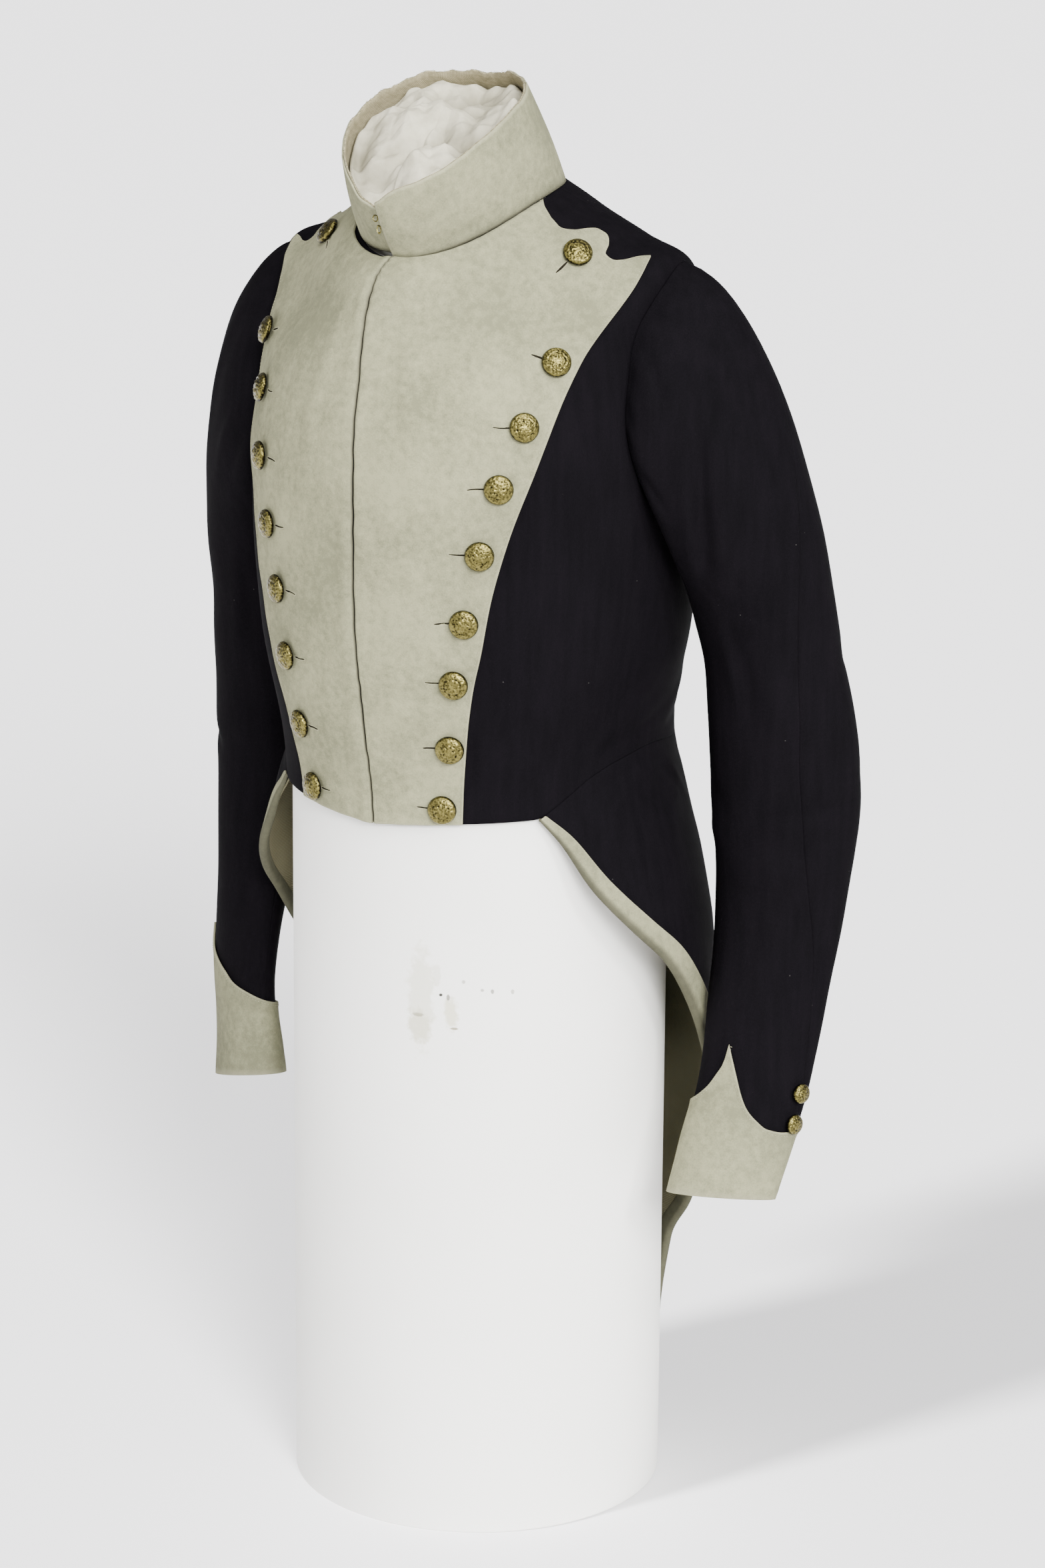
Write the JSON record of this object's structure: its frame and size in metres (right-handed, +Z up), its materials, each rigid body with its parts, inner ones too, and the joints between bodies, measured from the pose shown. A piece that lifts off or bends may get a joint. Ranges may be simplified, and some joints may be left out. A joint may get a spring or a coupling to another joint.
{
  "type": "tailcoat on a cylindrical display stand",
  "caption": "Short-fronted tailcoat with pale buttoned lapels, standing collar, pointed cuffs and long tails, worn on a padded form that stands on a white cylinder.",
  "frame": {"origin": "centre of the cylinder's base, on the floor", "axes": "+Z up; -Y is the coat's front; +X is the wearer's left"},
  "size_m": [0.5531, 0.3495, 1.0671],
  "materials": {
    "navy_broadcloth": "very dark navy fulled wool broadcloth, matt with a short nap",
    "facing_cloth": "off-white to pale greenish grey felted wool, matt",
    "linen": "tan plain-woven linen",
    "tail_serge": "off-white twilled wool serge",
    "gilt_brass": "gilt brass, worn, with a low relief pattern",
    "painted_board": "smooth white paint, scuffed in one place",
    "covered_form": "white calico over padding, plain",
    "stuffing": "white crumpled wadding paper"
  },
  "bodies": {
    "root": {"front_left": "navy_broadcloth", "lapel_left": "facing_cloth", "front_right": "navy_broadcloth", "lapel_right": "facing_cloth", "back_left": "navy_broadcloth", "back_right": "navy_broadcloth", "collar": "facing_cloth", "collar_lining": "linen", "tail_left": "navy_broadcloth", "tail_right": "navy_broadcloth", "tail_lining_left": "tail_serge", "tail_lining_right": "tail_serge", "turnback_left": "facing_cloth", "turnback_right": "facing_cloth", "sleeve_top_left": "navy_broadcloth", "sleeve_under_left": "navy_broadcloth", "cuff_left": "facing_cloth", "sleeve_top_right": "navy_broadcloth", "sleeve_under_right": "navy_broadcloth", "cuff_right": "facing_cloth", "lapel_button_left_1": "gilt_brass", "lapel_button_left_2": "gilt_brass", "lapel_button_left_3": "gilt_brass", "lapel_button_left_4": "gilt_brass", "lapel_button_left_5": "gilt_brass", "lapel_button_left_6": "gilt_brass", "lapel_button_left_7": "gilt_brass", "lapel_button_left_8": "gilt_brass", "lapel_button_left_9": "gilt_brass", "lapel_button_right_1": "gilt_brass", "lapel_button_right_2": "gilt_brass", "lapel_button_right_3": "gilt_brass", "lapel_button_right_4": "gilt_brass", "lapel_button_right_5": "gilt_brass", "lapel_button_right_6": "gilt_brass", "lapel_button_right_7": "gilt_brass", "lapel_button_right_8": "gilt_brass", "lapel_button_right_9": "gilt_brass", "cuff_button_left_1": "gilt_brass", "cuff_button_left_2": "gilt_brass", "cuff_button_right_1": "gilt_brass", "cuff_button_right_2": "gilt_brass", "hip_button_left": "gilt_brass", "hip_button_right": "gilt_brass", "collar_eye": "gilt_brass", "collar_hook": "gilt_brass", "waist_hook_left": "gilt_brass", "stand_cylinder": "painted_board", "stand_form": "covered_form", "stand_neck": "stuffing"}
  },
  "joints": []
}
